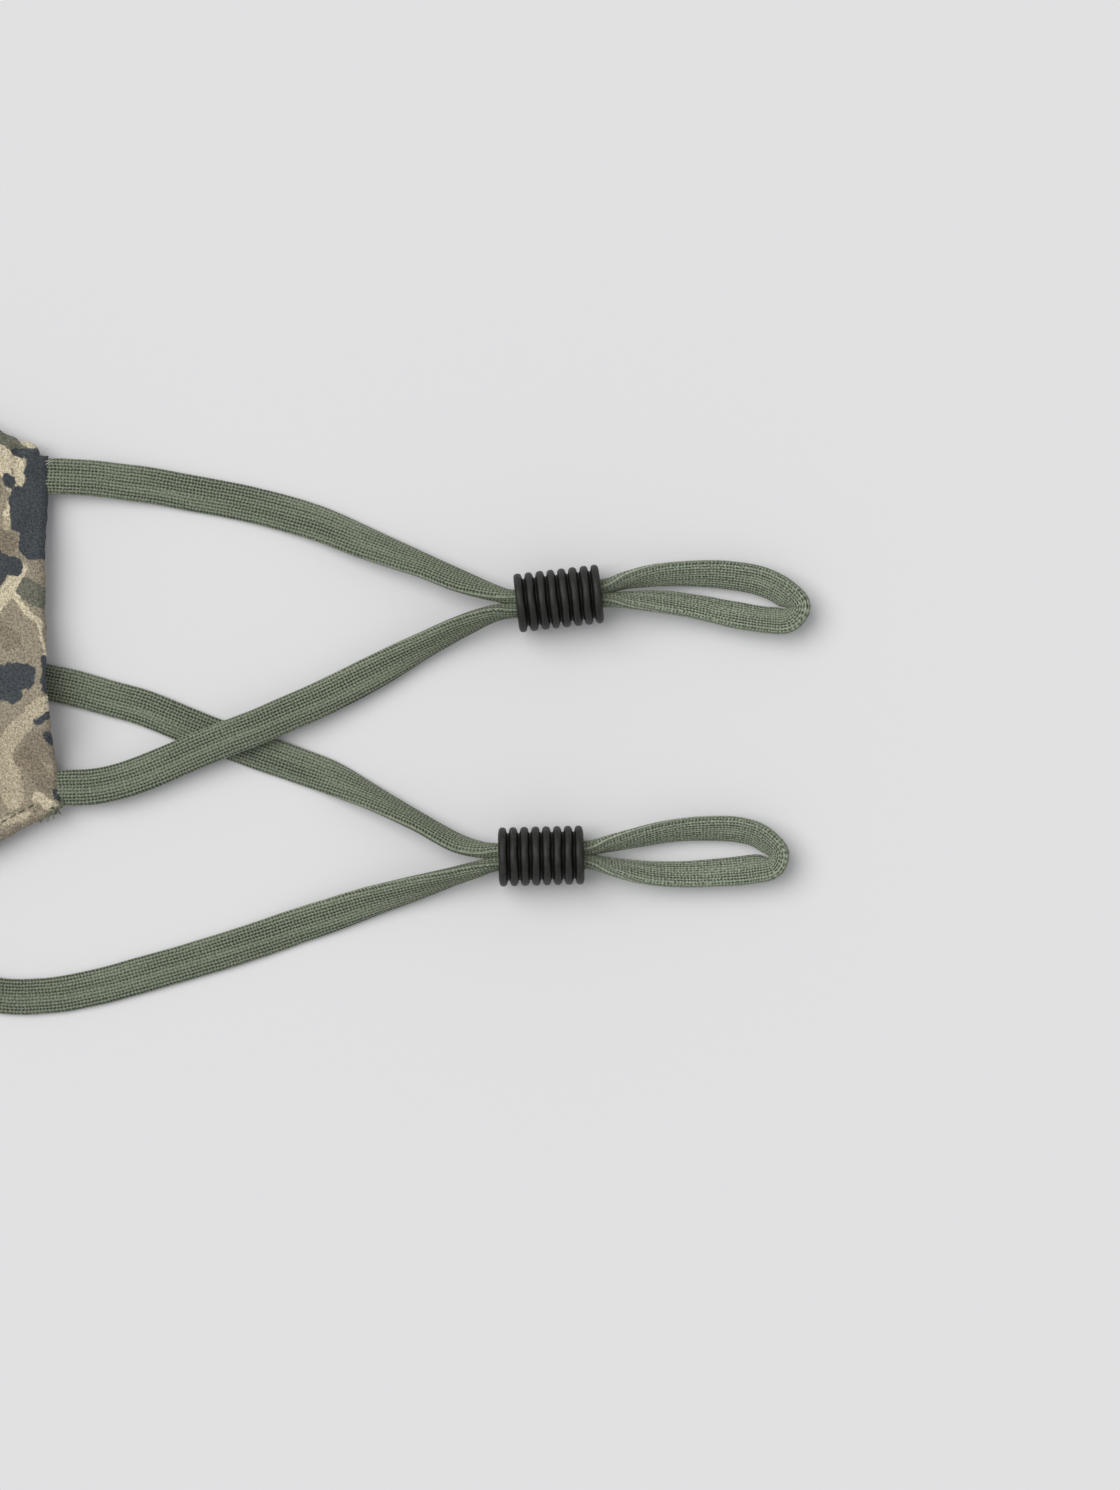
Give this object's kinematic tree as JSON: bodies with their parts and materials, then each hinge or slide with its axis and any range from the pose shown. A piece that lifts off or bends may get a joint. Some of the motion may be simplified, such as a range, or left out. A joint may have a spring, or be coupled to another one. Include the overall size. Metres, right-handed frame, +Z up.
{
  "type": "cloth face mask",
  "caption": "Contoured camouflage cloth face mask folded in half, with flat elastic ear loops running through ribbed rubber stoppers.",
  "frame": {"origin": "middle of the folded mask body's underside, on the surface that it lies on", "axes": "+Z up from that surface, +X from the fold towards the ear loops, +Y towards the nose end of the mask"},
  "size_m": [0.2446, 0.1318, 0.0098],
  "materials": {
    "camo_cloth": "matt brushed cotton twill with a camouflage print",
    "interlining": "matt felt",
    "lining": "matt cotton",
    "thread": "matt thread",
    "elastic": "matt knitted elastic",
    "stopper_rubber": "satin silicone rubber",
    "wire": "dull"
  },
  "bodies": {
    "far_half": {"outer_panel_far": "camo_cloth", "interlining_far": "interlining", "lining_far": "lining", "side_hem_far": "camo_cloth", "top_hem_far": "camo_cloth", "bottom_hem_far": "camo_cloth", "centre_seam_far": "camo_cloth", "nose_wire_far": "wire", "hem_stitches_far": "thread", "bartacks_far": "thread", "ear_loop_far": "elastic"},
    "near_half": {"outer_panel_near": "camo_cloth", "interlining_near": "interlining", "lining_near": "lining", "side_hem_near": "camo_cloth", "top_hem_near": "camo_cloth", "bottom_hem_near": "camo_cloth", "centre_seam_near": "camo_cloth", "nose_wire_near": "wire", "hem_stitches_near": "thread", "bartacks_near": "thread", "ear_loop_near": "elastic"},
    "near_stopper": {"cord_stopper_near": "stopper_rubber"},
    "far_stopper": {"cord_stopper_far": "stopper_rubber"}
  },
  "joints": [
    {"name": "unfold", "type": "hinge", "parent": "far_half", "child": "near_half", "pos_m": [-0.0607, 0.0094, 0.00205], "axis": [-0.0721, -0.9974, 0], "range_deg": [0, 110]},
    {"name": "near_stopper_slide", "type": "slide", "parent": "near_half", "child": "near_stopper", "axis": [0.9934, 0.1149, 0], "range_m": [-0.035, 0.022], "deforming": ["ear_loop_near"]},
    {"name": "far_stopper_slide", "type": "slide", "parent": "far_half", "child": "far_stopper", "axis": [0.9997, 0.0262, 0], "range_m": [-0.035, 0.022], "deforming": ["ear_loop_far"]}
  ]
}
